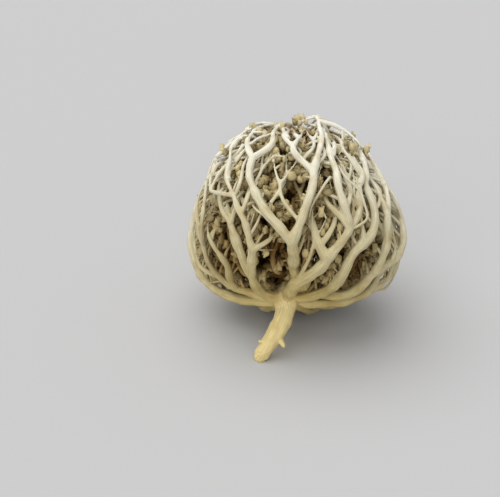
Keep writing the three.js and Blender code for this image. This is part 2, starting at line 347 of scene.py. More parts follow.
def wobbled(point, share=1.0):
    slow = noise.noise_vector(point / WOBBLE_LENGTH) * WOBBLE
    return point + (slow + noise.noise_vector(point / KINK_LENGTH) * KINK) * share


def knobbly(points, radii):
    """Lets the thickness wander along a stem, as it does in wood that dried out slowly."""
    return [radius * (1.0 + KNOBBLY * noise.noise(point / KNOB_LENGTH))
            for point, radius in zip(points, radii)]


def stretch(start, end, tier):
    """The points from one fork to the next."""
    chord = (place(*end, tier) - place(*start, tier)).length
    steps = max(3, round(SLACK * chord / ROUTE_STEP))
    points = []
    for step in range(steps + 1):
        t = step / steps
        azimuth = start[0] + (end[0] - start[0]) * math.sin(t * math.pi / 2.0)
        arc = start[1] + (end[1] - start[1]) * t
        depth = start[2] + (end[2] - start[2]) * smoothstep(t)
        points.append(wobbled(place(azimuth, arc, depth, tier)))
    return points


def rounded(points):
    """Softens the corners of a route and leaves its ends where they are."""
    for _ in range(ROUND_PASSES):
        middle = [(points[i - 1] + 2.0 * points[i] + points[i + 1]) / 4.0
                  for i in range(1, len(points) - 1)]
        points = [points[0], *middle, points[-1]]
    return points


def runs_of(start, first, radius, tier=0.0):
    """Every unforked run from a start to its tips: the points of each, and its radius at each point."""
    found = []

    def follow(start, node, radius):
        points, radii = [wobbled(place(*start, tier))], [radius]
        while True:
            run = stretch(start, node["at"], tier)
            ends = not node["onward"]
            forks = len(node["onward"]) > 1
            share = TIP_SHARE if ends else THINNING if forks else BEND_THINNING
            steps = len(run) - 1
            radii += [radius * (1.0 + (share - 1.0) * step / steps) for step in range(1, steps + 1)]
            points += run[1:]
            radius *= share
            if ends or forks:
                break
            start, node = node["at"], node["onward"][0]
        found.append((rounded(points), knobbly(points, radii)))
        for onward in node["onward"]:
            follow(node["at"], onward, radius)

    follow(start, first, radius)
    return found


def routes(limb):
    """The runs of a limb. Its foot reaches back into the knob at the crown."""
    runs = runs_of((limb["base"], FIRST_ARC, 0.0), limb["tree"], limb["width"] / 2.0, limb["tier"])
    points, radii = runs[0]
    foot = Vector((0.0, 0.0, 1.0 + limb["tier"] * FOOT_RISE))
    start = points[0]
    for share in FOOT_SHARES:
        points.insert(0, foot.lerp(start, share))
        radii.insert(0, radii[0])
    return runs


def arm_runs(width, tree):
    """The runs of a side arm, which starts on its limb."""
    found = []
    for onward in tree["onward"]:
        found += runs_of(tree["at"], onward, width / 2.0)
    return found


first_routes = routes(CAGE[0])
print("runs of the first limb:", len(first_routes))

# %% [markdown]
# ## A round stem along a route
#
# A stem is a disc that is extruded step by step. One matrix per step carries the disc to the next
# point, turns it with the route and scales it to the new thickness. The same helper makes thick
# limbs, hair-thin twigs and the root.

# %% Sweep
TIP_REACH = (0.5, 0.85)  # how far past its last point a stem has its last two rings, in radii
TIP_ROUNDING = (0.75, 0.35)  # how wide those rings are, as shares of the radius


def sweep(bm, points, radii, sides):
    """Adds a closed stem with a rounded far end."""
    heading = (points[1] - points[0]).normalized()
    upright = Vector((0.0, 0.0, 1.0)).rotation_difference(heading).to_matrix().to_4x4()
    disc = bmesh.ops.create_circle(
        bm, cap_ends=True, segments=sides, radius=radii[0],
        matrix=Matrix.Translation(points[0]) @ upright)
    cap = disc["verts"][0].link_faces[0]
    tip_radius = radii[-1]
    last = points[-1]
    onward = (last - points[-2]).normalized() * tip_radius
    points = [*points, *(last + reach * onward for reach in TIP_REACH)]
    radii = [*radii, *(tip_radius * share for share in TIP_ROUNDING)]
    for i in range(1, len(points)):
        grown = bmesh.ops.extrude_face_region(bm, geom=[cap])
        if i > 1:
            bm.faces.remove(cap)  # only the first disc stays, and closes the stem
        cap = next(part for part in grown["geom"] if isinstance(part, bmesh.types.BMFace))
        ahead = points[min(i + 1, len(points) - 1)] - points[i - 1]
        turn = heading.rotation_difference(ahead.normalized()).to_matrix().to_4x4()
        carry = (
            Matrix.Translation(points[i]) @ turn
            @ Matrix.Scale(radii[i] / radii[i - 1], 4) @ Matrix.Translation(-points[i - 1]))
        bmesh.ops.transform(bm, matrix=carry, verts=cap.verts)
        heading = ahead.normalized()


def mesh_from(bm, name):
    bmesh.ops.recalc_face_normals(bm, faces=bm.faces)
    mesh = bpy.data.meshes.new(name)
    bm.to_mesh(mesh)
    bm.free()
    return mesh


trial = bmesh.new()
sweep(trial, *first_routes[0], 10)
open_edges = sum(not edge.is_manifold for edge in trial.edges)
print("faces of one stem:", len(trial.faces), "open edges:", open_edges)
trial.free()

# %% [markdown]
# ## One skin over all the stems of a limb
#
# Stems that only poke into each other show a hard seam at every fork. A voxel remesh melts them into
# one closed skin, as living wood has, and a light smoothing rounds the crotches.

# %% Fuse
VOXEL = 0.38  # millimetres
SMOOTHING = 0.5
SMOOTHING_PASSES = 4
FUSED_FROM = 1.7  # a thinner side arm is too fine for the voxels and stays a stem of its own


def fused(mesh):
    """The mesh as one smooth closed skin."""
    holder = bpy.data.objects.new("holder", mesh)
    bpy.context.scene.collection.objects.link(holder)
    melt = holder.modifiers.new("melt", "REMESH")
    melt.mode = "VOXEL"
    melt.voxel_size = VOXEL
    soften = holder.modifiers.new("soften", "SMOOTH")
    soften.factor = SMOOTHING
    soften.iterations = SMOOTHING_PASSES
    evaluated = holder.evaluated_get(bpy.context.evaluated_depsgraph_get())
    skin = bpy.data.meshes.new_from_object(evaluated)
    bpy.data.objects.remove(holder)
    bpy.data.meshes.remove(mesh)
    return skin


print("voxels across the thinnest fused arm:", round(FUSED_FROM / VOXEL, 1))

# %% [markdown]
# ## Grain that follows the wood
#
# Bark has lengthwise wrinkles and fibres, so a pattern has to know which way the stem runs. For every
# point of the skin the nearest point of a route is found, and the place across and along the stem
# is stored as an attribute. The wrinkles are then pressed into the mesh with it, and the materials read
# it for their fibres.

# %% Grain and wrinkles
WRINKLES = ((5, 0.5), (8, 0.3), (13, 0.2))  # how many round the stem, and the share of each
WRINKLE_DEPTH = 0.055  # as a share of the stem's radius
WRINKLE_SHIFT = 1.7  # keeps the wrinkles of different counts out of step
WRINKLE_WANDER = 2.0  # how far they wander round the stem
WANDER_LENGTH = 3.0  # and over what length, in millimetres
RELIEF_FADES = 3.0  # over how many route points the wrinkles fade out towards a fork
RUN_OFFSET = 37.0  # shifts the grain of each run, so that no two runs show the same fibres
NARROWEST = 4.0  # millimetres; keeps the depth share finite at the two ends of the ball
BATCH = 8000  # how many places are compared with the routes at a time, which bounds the memory


def grain_frames(runs):
    """For every route point: the point, heading, sideways direction, distance, radius and relief."""
    frames = []
    for number, (points, radii) in enumerate(runs):
        heading = (points[1] - points[0]).normalized()
        side = heading.orthogonal().normalized()
        along = RUN_OFFSET * number
        for i, point in enumerate(points):
            ahead = points[min(i + 1, len(points) - 1)] - points[max(i - 1, 0)]
            turn = heading.rotation_difference(ahead.normalized())
            heading = ahead.normalized()
            side = (turn @ side).normalized()
            if i:
                along += (point - points[i - 1]).length
            relief = min(1.0, i / RELIEF_FADES, (len(points) - 1 - i) / RELIEF_FADES)
            frames.append((point, heading, side, along, radii[i], relief))
    return frames


def coordinates(mesh):
    flat = np.empty(len(mesh.vertices) * 3, dtype=np.float32)
    mesh.vertices.foreach_get("co", flat)
    return flat.reshape(-1, 3)


def sunk_share(places):
    """How deep inside the ball places are: 0 on its skin, 1 at its middle."""
    height = np.clip(places[:, 2] / BALL_HEIGHT, 0.0, 1.0)
    arc = np.arccos(1.0 - 2.0 * height) / math.pi
    skin_radius = (BALL_WIDTH / 2.0) * np.sin(math.pi * arc**LOW_BELLY)
    aside = np.hypot(places[:, 0], places[:, 1])
    up = np.abs(places[:, 2] - HEART.z)
    limit = np.where(places[:, 2] > HEART.z, BALL_HEIGHT - HEART.z, HEART.z)
    share = np.maximum(aside / np.maximum(skin_radius, NARROWEST), up / limit)
    return np.clip(1.0 - share, 0.0, 1.0)


def nearest_frames(places, centres, radii):
    """For every place the number of the route point whose stem it lies on."""
    found = []
    for some in np.array_split(places, 1 + len(places) // BATCH):
        squares = (some**2).sum(axis=1)[:, None] + (centres**2).sum(axis=1) - 2.0 * some @ centres.T
        found.append(np.argmin(np.sqrt(np.maximum(squares, 0.0)) - radii, axis=1))
    return np.concatenate(found)


def mark_grain(mesh, runs, press=0.0):
    """Stores the grain on a mesh, and presses wrinkles into it."""
    frames = grain_frames(runs)
    places = coordinates(mesh)
    centres = np.array([f[0][:] for f in frames], dtype=np.float32)
    thick = np.array([f[4] for f in frames], dtype=np.float32)
    nearest = nearest_frames(places, centres, thick)
    centre, heading, side = (
        np.array([f[k][:] for f in frames], dtype=np.float32)[nearest] for k in range(3))
    along, radius, strength = (
        np.array([f[k] for f in frames], dtype=np.float32)[nearest] for k in (3, 4, 5))
    offset = places - centre
    along = along + (offset * heading).sum(axis=1)
    across = (offset * side).sum(axis=1)
    other = (offset * np.cross(heading, side)).sum(axis=1)
    if press:
        angle = np.arctan2(other, across)
        relief = sum(
            share * np.sin(count * angle + WRINKLE_SHIFT * count
                           + WRINKLE_WANDER * np.sin(along / (WANDER_LENGTH + count)))
            for count, share in WRINKLES)
        flat = np.empty(len(mesh.vertices) * 3, dtype=np.float32)
        mesh.vertex_normals.foreach_get("vector", flat)
        pressed = places + flat.reshape(-1, 3) * (press * radius * strength * relief)[:, None]
        mesh.vertices.foreach_set("co", pressed.astype(np.float32).ravel())
    stored = mesh.attributes.new("grain", "FLOAT_VECTOR", "POINT")
    across_and_along = np.stack([across, other, along], axis=1).astype(np.float32)
    stored.data.foreach_set("vector", across_and_along.ravel())
    # How deep each place is in the ball; the materials darken by it as painted shade.
    painted_shade_depth = mesh.attributes.new("painted_shade_depth", "FLOAT", "POINT")
    painted_shade_depth.data.foreach_set("value", sunk_share(places).astype(np.float32))


print("route points of the first limb:", len(grain_frames(first_routes)))

# %% [markdown]
# ## Twigs and pods
#
# Every run of a limb bears short twigs that turn inwards, and pods sit along the twigs. They could be
# scattered with a particle system, but twigs that are placed in code can be kept clear of the cage,
# and give the same plant on each run. Short tufts at the high ends of limbs bear pods in the open,
# which makes the outline knobbly. A pod of this plant is a small crumpled husk with two ears and a
# beak. It is repeated thousands of times, so it has only a few dozen faces.

# %% Twigs
random.seed(7)
noise.seed_set(7)  # the noise module has its own chance
TWIG_SPACING = 4.6
TWIG_TOP = 66.0  # no twig starts above this height, so that the closed top stays clean
TWIG_RADIUS = (0.4, 0.8)
TWIG_STOUTEST = 0.7  # as a share of its limb
TWIG_TAPER = 0.45
LEAVE_ONWARD = (0.4, 1.0)  # how much of the limb's own heading a twig leaves with
LEAVE_ASIDE = (0.0, 0.6)
LEAVE_INWARD = 0.4
ARRIVE_ONWARD = (-0.2, 0.8)  # and what it ends with
ARRIVE_ASIDE = (-0.4, 0.6)


def twig_routes(runs, inward, reach):
    """Short bowed routes that leave the runs sideways and turn towards the heart of the ball."""
    twigs = []
    for points, radii in runs:
        length = ROUTE_STEP * (len(points) - 1)
        for number in range(max(1, round(length / TWIG_SPACING))):
            i = min(len(points) - 2, round((number + random.random()) * TWIG_SPACING / ROUTE_STEP))
            start = points[i]
            if start.z > TWIG_TOP:
                continue
            heading = (points[i + 1] - start).normalized()
            inside = (HEART - start).normalized()
            sideways = heading.cross(inside).normalized() * random.choice((-1.0, 1.0))
            start = start + inside * radii[i] * 0.5
            leave = heading * random.uniform(*LEAVE_ONWARD) + sideways * random.uniform(*LEAVE_ASIDE)
            leave += inside * LEAVE_INWARD
            arrive = inside * random.uniform(*inward) + heading * random.uniform(*ARRIVE_ONWARD)
            arrive += sideways * random.uniform(*ARRIVE_ASIDE)
            far = random.uniform(*reach)
            knee = start + leave.normalized() * 0.5 * far
            end = knee + arrive.normalized() * 0.7 * far
            steps = max(4, round(far / ROUTE_STEP))
            bow = [wobbled(start * (1 - t) ** 2 + knee * 2 * t * (1 - t) + end * t * t, t)
                   for t in (step / steps for step in range(steps + 1))]
            thick = min(TWIG_STOUTEST * radii[i], random.uniform(*TWIG_RADIUS))
            thinning = [thick * (1.0 - TWIG_TAPER * step / steps) for step in range(steps + 1)]
            twigs.append((bow, thinning))
    return twigs


print("twigs on a limb of 60 mm:", round(60 / TWIG_SPACING))

# %% Tufts in the open
TUFT_FROM = 42.0  # the height from which limb ends bear tufts
TUFT_SHARE = 0.5  # how many of those ends bear one
TUFT_TWIGS = 3
TUFT_REACH = (2.2, 4.2)
TUFT_RISE = (-2.4, 0.1)  # how far a tuft ends above the end of its limb
TUFT_STEPS = (0.0, 0.33, 0.67, 1.0)
TUFT_RADII = [0.55, 0.5, 0.4, 0.3]


def tuft_routes(runs):
    """Short twigs at the high ends of limbs. They lie on the skin and roughen the outline."""
    tufts = []
    for points, _ in runs:
        start = points[-1]
        if start.z < TUFT_FROM or random.random() > TUFT_SHARE:
            continue
        outward = (start - HEART).normalized()
        for _ in range(TUFT_TWIGS):
            aside = noise.random_unit_vector()
            aside -= outward * aside.dot(outward)
            end = start + aside.normalized() * random.uniform(*TUFT_REACH)
            end += outward * random.uniform(*TUFT_RISE)
            tufts.append(([start.lerp(end, t) for t in TUFT_STEPS], TUFT_RADII))
    return tufts


print("a tuft adds stems", TUFT_REACH, "mm long")

# %% One pod
POD_RADIUS = 1.6
POD_ROUND, POD_UP = 8, 5  # few faces, because the pod is repeated so often
POD_DENTS = 0.17  # how far a corner of the husk is pushed in or out, as a share of its distance
SEAM_PINCH = 0.8
BEAK = 0.7
EAR_OUT, EAR_UP = 0.6, 0.75


def make_pod():
    """A husk about 3.2 mm across, in two valves with an ear each and a short beak, round the origin."""
    bm = bmesh.new()
    bmesh.ops.create_uvsphere(bm, u_segments=POD_ROUND, v_segments=POD_UP, radius=POD_RADIUS)
    bmesh.ops.scale(bm, vec=(1.0, 0.85, 0.9), verts=bm.verts)
    seam = [vert for vert in bm.verts if abs(vert.co.x) < 0.1 and abs(vert.co.y) > 0.1]
    bmesh.ops.scale(bm, vec=(1.0, SEAM_PINCH, 1.0), verts=seam)
    for number, vert in enumerate(bm.verts):
        vert.co *= 1.0 + sway(number + 0.5, POD_DENTS)
    beak = max(bm.verts, key=lambda vert: vert.co.z)
    beak.co.z += BEAK
    for sign in (-1.0, 1.0):
        flanks = [face for face in bm.faces if sign * face.normal.x > 0.3 and face.normal.z > 0.35]
        ear = max(flanks, key=lambda face: (sign * face.calc_center_median().x
                                            - face.calc_center_median().y))
        grown = bmesh.ops.extrude_discrete_faces(bm, faces=[ear])["faces"][0]
        about_ear = Matrix.Translation(-grown.calc_center_median())
        bmesh.ops.scale(bm, vec=(0.6, 0.8, 0.8), verts=grown.verts, space=about_ear)
        bmesh.ops.translate(bm, vec=(sign * EAR_OUT, 0.0, EAR_UP), verts=grown.verts)
    bmesh.ops.recalc_face_normals(bm, faces=bm.faces)
    pod = bpy.data.meshes.new("pod")
    bm.to_mesh(pod)
    print("open edges of the pod:", sum(not edge.is_manifold for edge in bm.edges))
    bm.free()
    return pod


POD = make_pod()
print("faces of one pod:", len(POD.polygons))


# %% Pods along twigs
POD_SPACING = 2.1
POD_SIZE = (0.7, 1.1)
POD_CRUMPLE = 0.26  # how much longer or shorter a pod may be in each of its three directions
POD_STANDS_OFF = 0.9  # how far its middle is from the bark of its twig
POD_CLEARANCE = 2.7  # how far its middle stays from the skin of the ball
POD_TOP_CLEARANCE = 5.0
POD_LIMB_GAP = 1.0  # how far its middle stays from the bark of a thick limb


def buried(point):
    """Whether a place is inside the ball and clear of its skin."""
    if not POD_CLEARANCE < point.z < BALL_HEIGHT - POD_TOP_CLEARANCE:
        return False
    arc = math.acos(1.0 - 2.0 * point.z / BALL_HEIGHT) / math.pi
    skin_radius = (BALL_WIDTH / 2.0) * math.sin(math.pi * arc**LOW_BELLY)
    return math.hypot(point.x, point.y) < skin_radius - POD_CLEARANCE


def limb_tree(runs):
    """A search tree of the points of thick limbs, and how thick each limb is there."""
    points = [point for run_points, _ in runs for point in run_points]
    tree = kdtree.KDTree(len(points))
    for i, point in enumerate(points):
        tree.insert(point, i)
    tree.balance()
    return tree, [radius for _, radii in runs for radius in radii]


def pod_places(twigs, thick_tree, thickness, hidden=True):
    """A matrix for every pod: beside its twig, turned any way, and clear of the thick limbs.

    A hidden pod also stays clear of the skin of the ball.
    """
    found = []
    for points, radii in twigs:
        length = ROUTE_STEP * (len(points) - 1)
        count = max(1, round(length / POD_SPACING))
        for number in range(count):
            i = min(len(points) - 1, 1 + round((number + 0.7) * (len(points) - 2) / count))
            shift = noise.random_unit_vector() * (radii[i] + POD_STANDS_OFF)
            turn = noise.random_unit_vector().to_track_quat("Z", "X").to_matrix().to_4x4()
            size = random.uniform(*POD_SIZE)
            crumple = [size * (1.0 + random.uniform(-POD_CRUMPLE, POD_CRUMPLE)) for _ in range(3)]
            centre = points[i] + shift
            _, nearest, distance = thick_tree.find(centre)
            if (buried(centre) or not hidden) and distance > thickness[nearest] + POD_LIMB_GAP:
                found.append(Matrix.Translation(centre) @ turn @ Matrix.Diagonal((*crumple, 1.0)))
    return found


print("buried: the heart", buried(HEART), "the crown", buried(place(0, 0, 0)))

# %% [markdown]
# ## Finishing a piece
#
# A finished piece is moved once, from the plant's frame to the row's, and its object stays at the
# origin. It rides on the root body and stands for its CAD node.

# %% Finish a piece
def finish(mesh, name, node, material):
    mesh.transform(TO_ROW)
    settled = coordinates(mesh)
    settled[:, 2] = np.maximum(settled[:, 2], 0.0)  # nothing sinks into the floor
    mesh.vertices.foreach_set("co", settled.ravel())
    mesh.materials.append(material)
    mesh.shade_smooth()
    piece = bpy.data.objects.new(f"grown_{name}", mesh)
    bpy.context.scene.collection.objects.link(piece)
    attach(piece, "root")
    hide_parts(node)
    return piece


print("a plant millimetre in the row frame, metres:", round(TO_ROW.median_scale, 4))

# %% [markdown]
# ## Materials
#
# Sun and age bleach the bark from the tips down; on the limbs the chalk white of the tips is partly a
# painted highlight, and every finish is darker deep inside the ball as painted shade. An image could
# be painted for that, but here the colour is worked out from the distance to the crown and from the
# depth inside the ball, so it fits every limb without unwrapping. The fibres come from the grain
# attribute and run with the wood.

# %% Material helpers
def linear(hex_colour):
    """An sRGB colour such as "#c8b98a" as the linear colour that a shader needs."""
    channels = (int(hex_colour[i:i + 2], 16) / 255.0 for i in (1, 3, 5))
    return (*(c / 12.92 if c <= 0.04045 else ((c + 0.055) / 1.055) ** 2.4 for c in channels), 1.0)


def add_node(tree, kind, settings=None, inputs=None):
    """Adds a node. An input is a value for its socket, or an output of another node to link to it."""
    made = tree.nodes.new(kind)
    for key, value in (settings or {}).items():
        setattr(made, key, value)
    for key, value in (inputs or {}).items():
        if isinstance(value, bpy.types.NodeSocket):
            tree.links.new(value, made.inputs[key])
        else:
            made.inputs[key].default_value = value
    return made


def ramp_colours(ramp_node, stops):
    elements = ramp_node.color_ramp.elements
    while len(elements) < len(stops):
        elements.new(0.5)
    for element, (position, colour) in zip(elements, stops):
        element.position = position
        element.color = linear(colour)


print("linear middle grey:", [round(channel, 3) for channel in linear("#808080")])

# %% Dry bark
CROWN_POINT = TO_ROW @ Vector((0.0, 0.0, 0.0))
BLEACHES_OVER = (6.0, 74.0)  # how far from the crown the bleaching starts and ends, in millimetres; on the limbs its white end is partly a painted highlight
FIBRE = (0.45, 9.0)  # width and length; real fibres are near 0.1 mm, too fine to show at this size
FIBRE_TONES = (0.78, 1.12)  # the darkest and the lightest fibre, as shares of the colour
FIBRE_DEPTH = 0.12
STAIN_SIZE = 7.0
STAIN_SHARE = 0.55  # how strongly the darkest stain tints the bark
SHADED_OVER = (0.08, 0.35)  # how deep in the ball the painted shade starts and is full
DRY_SHEEN = 0.25  # dry bark has pores and hardly mirrors anything
print("fibres across a limb of 5 mm:", round(5.0 * math.pi / FIBRE[0]))


def bark(name, ageing, inside, stain, roughness, varies=0.0):
    """Dry bark: colours from the crown outwards, darker inside the ball as painted shade, with
    lengthwise fibres.

    ageing is the colour ramp from the crown to the tips, inside is the colour of the painted shade on
    what is deep in the ball, and stain tints the blotches. varies is how much lighter or darker one
    copy may be than the next.
    """
    material = bpy.data.materials.new(name)
    material.use_nodes = True
    tree = material.node_tree
    tree.nodes.clear()
    coords = add_node(tree, "ShaderNodeTexCoord")
    from_crown = add_node(tree, "ShaderNodeVectorMath", {"operation": "DISTANCE"},
                          {0: coords.outputs["Object"], 1: CROWN_POINT})
    age = add_node(tree, "ShaderNodeMapRange", {},
                   {"Value": from_crown.outputs["Value"],
                    "From Min": BLEACHES_OVER[0] * MM, "From Max": BLEACHES_OVER[1] * MM})
    colours = add_node(tree, "ShaderNodeValToRGB", {}, {"Fac": age.outputs["Result"]})
    ramp_colours(colours, ageing)

    grain = add_node(tree, "ShaderNodeAttribute", {"attribute_name": "grain"})
    stretched = add_node(tree, "ShaderNodeMapping", {"vector_type": "POINT"},
                         {"Vector": grain.outputs["Vector"],
                          "Scale": (1 / FIBRE[0], 1 / FIBRE[0], 1 / FIBRE[1])})
    fibres = add_node(tree, "ShaderNodeTexNoise", {},
                      {"Vector": stretched.outputs["Vector"], "Scale": 1.0,
                       "Detail": 3.0, "Roughness": 0.6})
    fibre_tone = add_node(tree, "ShaderNodeMapRange", {},
                          {"Value": fibres.outputs["Fac"], "From Min": 0.3, "From Max": 0.7,
                           "To Min": FIBRE_TONES[0], "To Max": FIBRE_TONES[1]})
    own = add_node(tree, "ShaderNodeAttribute", {"attribute_name": "own"})
    own_tone = add_node(tree, "ShaderNodeMapRange", {},
                        {"Value": own.outputs["Fac"], "To Min": 1.0 - varies, "To Max": 1.0 + varies})
    both_tones = add_node(tree, "ShaderNodeMath", {"operation": "MULTIPLY"},
                          {0: fibre_tone.outputs["Result"], 1: own_tone.outputs["Result"]})
    toned = add_node(tree, "ShaderNodeVectorMath", {"operation": "SCALE"},
                     {0: colours.outputs["Color"], "Scale": both_tones.outputs["Value"]})

    blotches = add_node(tree, "ShaderNodeTexNoise", {},
                        {"Vector": coords.outputs["Object"], "Scale": 1 / (STAIN_SIZE * MM),
                         "Detail": 2.0})
    stain_share = add_node(tree, "ShaderNodeMapRange", {},
                           {"Value": blotches.outputs["Fac"], "From Min": 0.5, "From Max": 0.75,
                            "To Min": 0.0, "To Max": STAIN_SHARE})
    stained = add_node(tree, "ShaderNodeMix", {"data_type": "RGBA", "blend_type": "MULTIPLY"},
                       {"Factor": stain_share.outputs["Result"], "A": toned.outputs["Vector"],
                        "B": linear(stain)})

    # Painted shade: the deeper a place is in the ball, the more its colour is multiplied by the inside
    # tint.
    painted_shade_depth = add_node(tree, "ShaderNodeAttribute", {"attribute_name": "painted_shade_depth"})
    shade = add_node(tree, "ShaderNodeMapRange", {"interpolation_type": "SMOOTHSTEP"},
                     {"Value": painted_shade_depth.outputs["Fac"],
                      "From Min": SHADED_OVER[0], "From Max": SHADED_OVER[1]})
    coloured = add_node(tree, "ShaderNodeMix", {"data_type": "RGBA", "blend_type": "MULTIPLY"},
                        {"Factor": shade.outputs["Result"], "A": stained.outputs["Result"],
                         "B": linear(inside)})

    bump = add_node(tree, "ShaderNodeBump", {},
                    {"Height": fibres.outputs["Fac"], "Strength": 0.5, "Distance": FIBRE_DEPTH * MM})
    shader = add_node(tree, "ShaderNodeBsdfPrincipled", {},
                      {"Base Color": coloured.outputs["Result"], "Roughness": roughness,
                       "Specular IOR Level": DRY_SHEEN, "Normal": bump.outputs["Normal"]})
    add_node(tree, "ShaderNodeOutputMaterial", {}, {"Surface": shader.outputs["BSDF"]})
    return material


# %% The finishes
# Limb bark that dried in the sun: straw-coloured at the crown, chalk white at the tips, with fine
# lengthwise fibres and no gloss. The chalk white is partly a painted highlight of the light from above
# on the top of the ball, and the limbs are darker deep in the ball as painted shade.
BLEACHED_WITH_PAINTED_HIGHLIGHT = bark("sun-bleached limb bark with painted highlight",
                [(0.0, "#dcc88c"), (0.14, "#c6b276"), (0.3, "#c6b785"),
                 (0.62, "#cfc5a2"), (0.9, "#f3f0e2")],
                "#b3986a", "#d6c39b", 0.8)
# Bark that dried inside the ball, out of the sun: it keeps its brown, and it is darker still as painted
# shade for the depth of the ball. It looks duller.
SHADED = bark("brown inner bark with painted shade",
              [(0.0, "#b59a62"), (0.5, "#b9a67a"), (1.0, "#d0c49c")],
              "#b0946a", "#b59665", 0.88)
# Root bark that grew under the soil and was scraped clean: warm yellow, with the softest sheen here.
ROOT = bark("scraped root bark",
            [(0.0, "#e6d398"), (0.35, "#e4cf90"), (1.0, "#dcc07c")],
            "#e0c890", "#d9b878", 0.7)
# Husk walls as thin as paper, dried and crumpled: dull brown, darker deep in the ball as painted shade,
# and no two pods are quite alike.
HUSK = bark("papery dried pod husk",
            [(0.0, "#b09c6a"), (0.5, "#baa97a"), (1.0, "#cbbf96")],
            "#b89f72", "#b0996a", 0.9, varies=0.3)
print("finishes:", [material.name for material in bpy.data.materials])

# %% [markdown]
# ## The limbs
#
# Each limb is swept, fused and marked, and then its twigs are added as thin stems of their own.

# %% Grow the limbs
LIMB_SIDES = 10
TWIG_SIDES = 6
SWELL = -0.2  # millimetres added to a stem's radius before the fusing
# How strongly twigs turn in, and how long they are.
CAGE_TWIGS = {"inward": (0.8, 1.8), "reach": (7.0, 15.0)}
INNER_TWIGS = {"inward": (-0.8, 1.0), "reach": (6.0, 13.0)}
ARM_SEED, CURL_SEED, INNER_ARM_SEED = 1.0, 5.0, 31.0


def join_meshes(first, second):
    """Adds the second mesh to the first, attributes included."""
    bm = bmesh.new()
    bm.from_mesh(first)
    bm.from_mesh(second)
    bm.to_mesh(first)
    bm.free()
    bpy.data.meshes.remove(second)
    return first


def swept(runs, name, sides, swell=0.0):
    """One mesh with a stem for every run. Each stem is made alone, which keeps the operators quick."""
    together = bmesh.new()
    stem_mesh = bpy.data.meshes.new("stem")
    for points, radii in runs:
        stem = bmesh.new()
        sweep(stem, points, [radius + swell for radius in radii], sides)
        stem.to_mesh(stem_mesh)
        stem.free()
        together.from_mesh(stem_mesh)
    bpy.data.meshes.remove(stem_mesh)
    return mesh_from(together, name)


def grow_limb(limb, name, arms, twig_manner, material, tufted=False):
    """Makes the piece of one limb and returns its hidden twigs and its tufts, which bear the pods."""
    runs = routes(limb)
    thin_arms = []
    for width, tree in arms:
        (runs if width >= FUSED_FROM else thin_arms).extend(arm_runs(width, tree))
    skin = fused(swept(runs, name, LIMB_SIDES, SWELL))
    mark_grain(skin, runs, press=WRINKLE_DEPTH)
    twigs = twig_routes(runs, **twig_manner)
    tufts = tuft_routes(runs) if tufted else []
    thin_runs = thin_arms + twigs + tufts
    thin = swept(thin_runs, name + " twigs", TWIG_SIDES)
    mark_grain(thin, thin_runs)
    join_meshes(skin, thin)
    finish(skin, name, name, material)
    print(name, "runs", len(runs), "thin arms", len(thin_arms), "twigs", len(twigs),
          "tufts", len(tufts), "faces", len(skin.polygons))
    thick_runs.extend(runs)
    return twigs, tufts


def numbered(word, index):
    return f"{word}_{index + 1:02d}"


thick_runs = []
bearing = []
for index, limb in enumerate(CAGE):
    arms = FRONT_SIDE_ARMS.get(index, []) + side_arms(limb, ARM_SEED + index)
    arms += curled_tips(limb, CURL_SEED + index)
    bearing.append(grow_limb(limb, numbered("limb", index), arms, CAGE_TWIGS,
                             BLEACHED_WITH_PAINTED_HIGHLIGHT, tufted=True))

for index, limb in enumerate(INSIDE):
    arms = side_arms(limb, INNER_ARM_SEED + index) if index else []
    bears = grow_limb(limb, numbered("inner_limb", index), arms, INNER_TWIGS, SHADED)
    if index:  # the front shoot bears no pods
        bearing.append(bears)

# %% [markdown]
# ## The pods
#
# All the pods of one limb are one piece. They are copies of one small mesh, each with its own turn.

# %% Hang the pods
def copies(original, matrices, name):
    """One mesh with a copy of the original at every matrix."""
    corners = coordinates(original)
    faces = [tuple(face.vertices) for face in original.polygons]
    points, polygons = [], []
    for number, matrix in enumerate(matrices):
        turn, shift = np.array(matrix.to_3x3()), np.array(matrix.translation)
        points.append(corners @ turn.T + shift)
        first = number * len(corners)
        polygons += [tuple(first + corner for corner in face) for face in faces]
    mesh = bpy.data.meshes.new(name)
    mesh.from_pydata(np.concatenate(points).tolist(), [], polygons)
    own = mesh.attributes.new("own", "FLOAT", "POINT")
    own.data.foreach_set("value", np.repeat([random.random() for _ in matrices], len(corners)))
    return mesh


def grow_pods(twigs, tufts, name, thick_tree, thickness):
    places = pod_places(twigs, thick_tree, thickness)
    places += pod_places(tufts, thick_tree, thickness, hidden=False)
    mesh = copies(POD, places, name)
    mark_grain(mesh, twigs + tufts)
    finish(mesh, name, name, HUSK)
    return len(places)


thick_tree, thickness = limb_tree(thick_runs)
pod_count = 0
for index, (twigs, tufts) in enumerate(bearing):
    pod_count += grow_pods(twigs, tufts, numbered("pod_spray", index), thick_tree, thickness)
print("pod sprays:", len(bearing), "pods:", pod_count)

# %% [markdown]
# ## The root
#
# The root is swept in the same way, with one side root and a stump of a snapped one. Its knob at the
# crown takes the swollen feet of the limbs. Slow noise raises lumps on it, and finer noise near the
# end makes the break look torn and not sawn.

# %% The routes of the root
TAP = [(0, 0, 7), (0, 0, 4), (0, 0, 1), (-0.1, -0.2, -2), (-0.3, -0.4, -5), (-0.7, -0.6, -8),
       (-2.0, -0.7, -11), (-3.6, -0.5, -14), (-5.0, 0.3, -16.5), (-6.4, 1.2, -18.8), (-7.6, 2.3, -20.8),
       (-8.6, 3.3, -22.5)]
TAP_RADII = [2.2, 3.9, 4.8, 4.6, 3.6, 3.75, 3.75, 3.5, 3.3, 3.0, 2.95, 2.6]
SIDE_ROOT = [(-3.2, -0.8, -13.5), (-1.9, -0.8, -15.5), (-0.7, -1.1, -17.4), (0.2, -1.6, -18.8)]
SIDE_RADII = [1.5, 1.25, 1.1, 0.85]
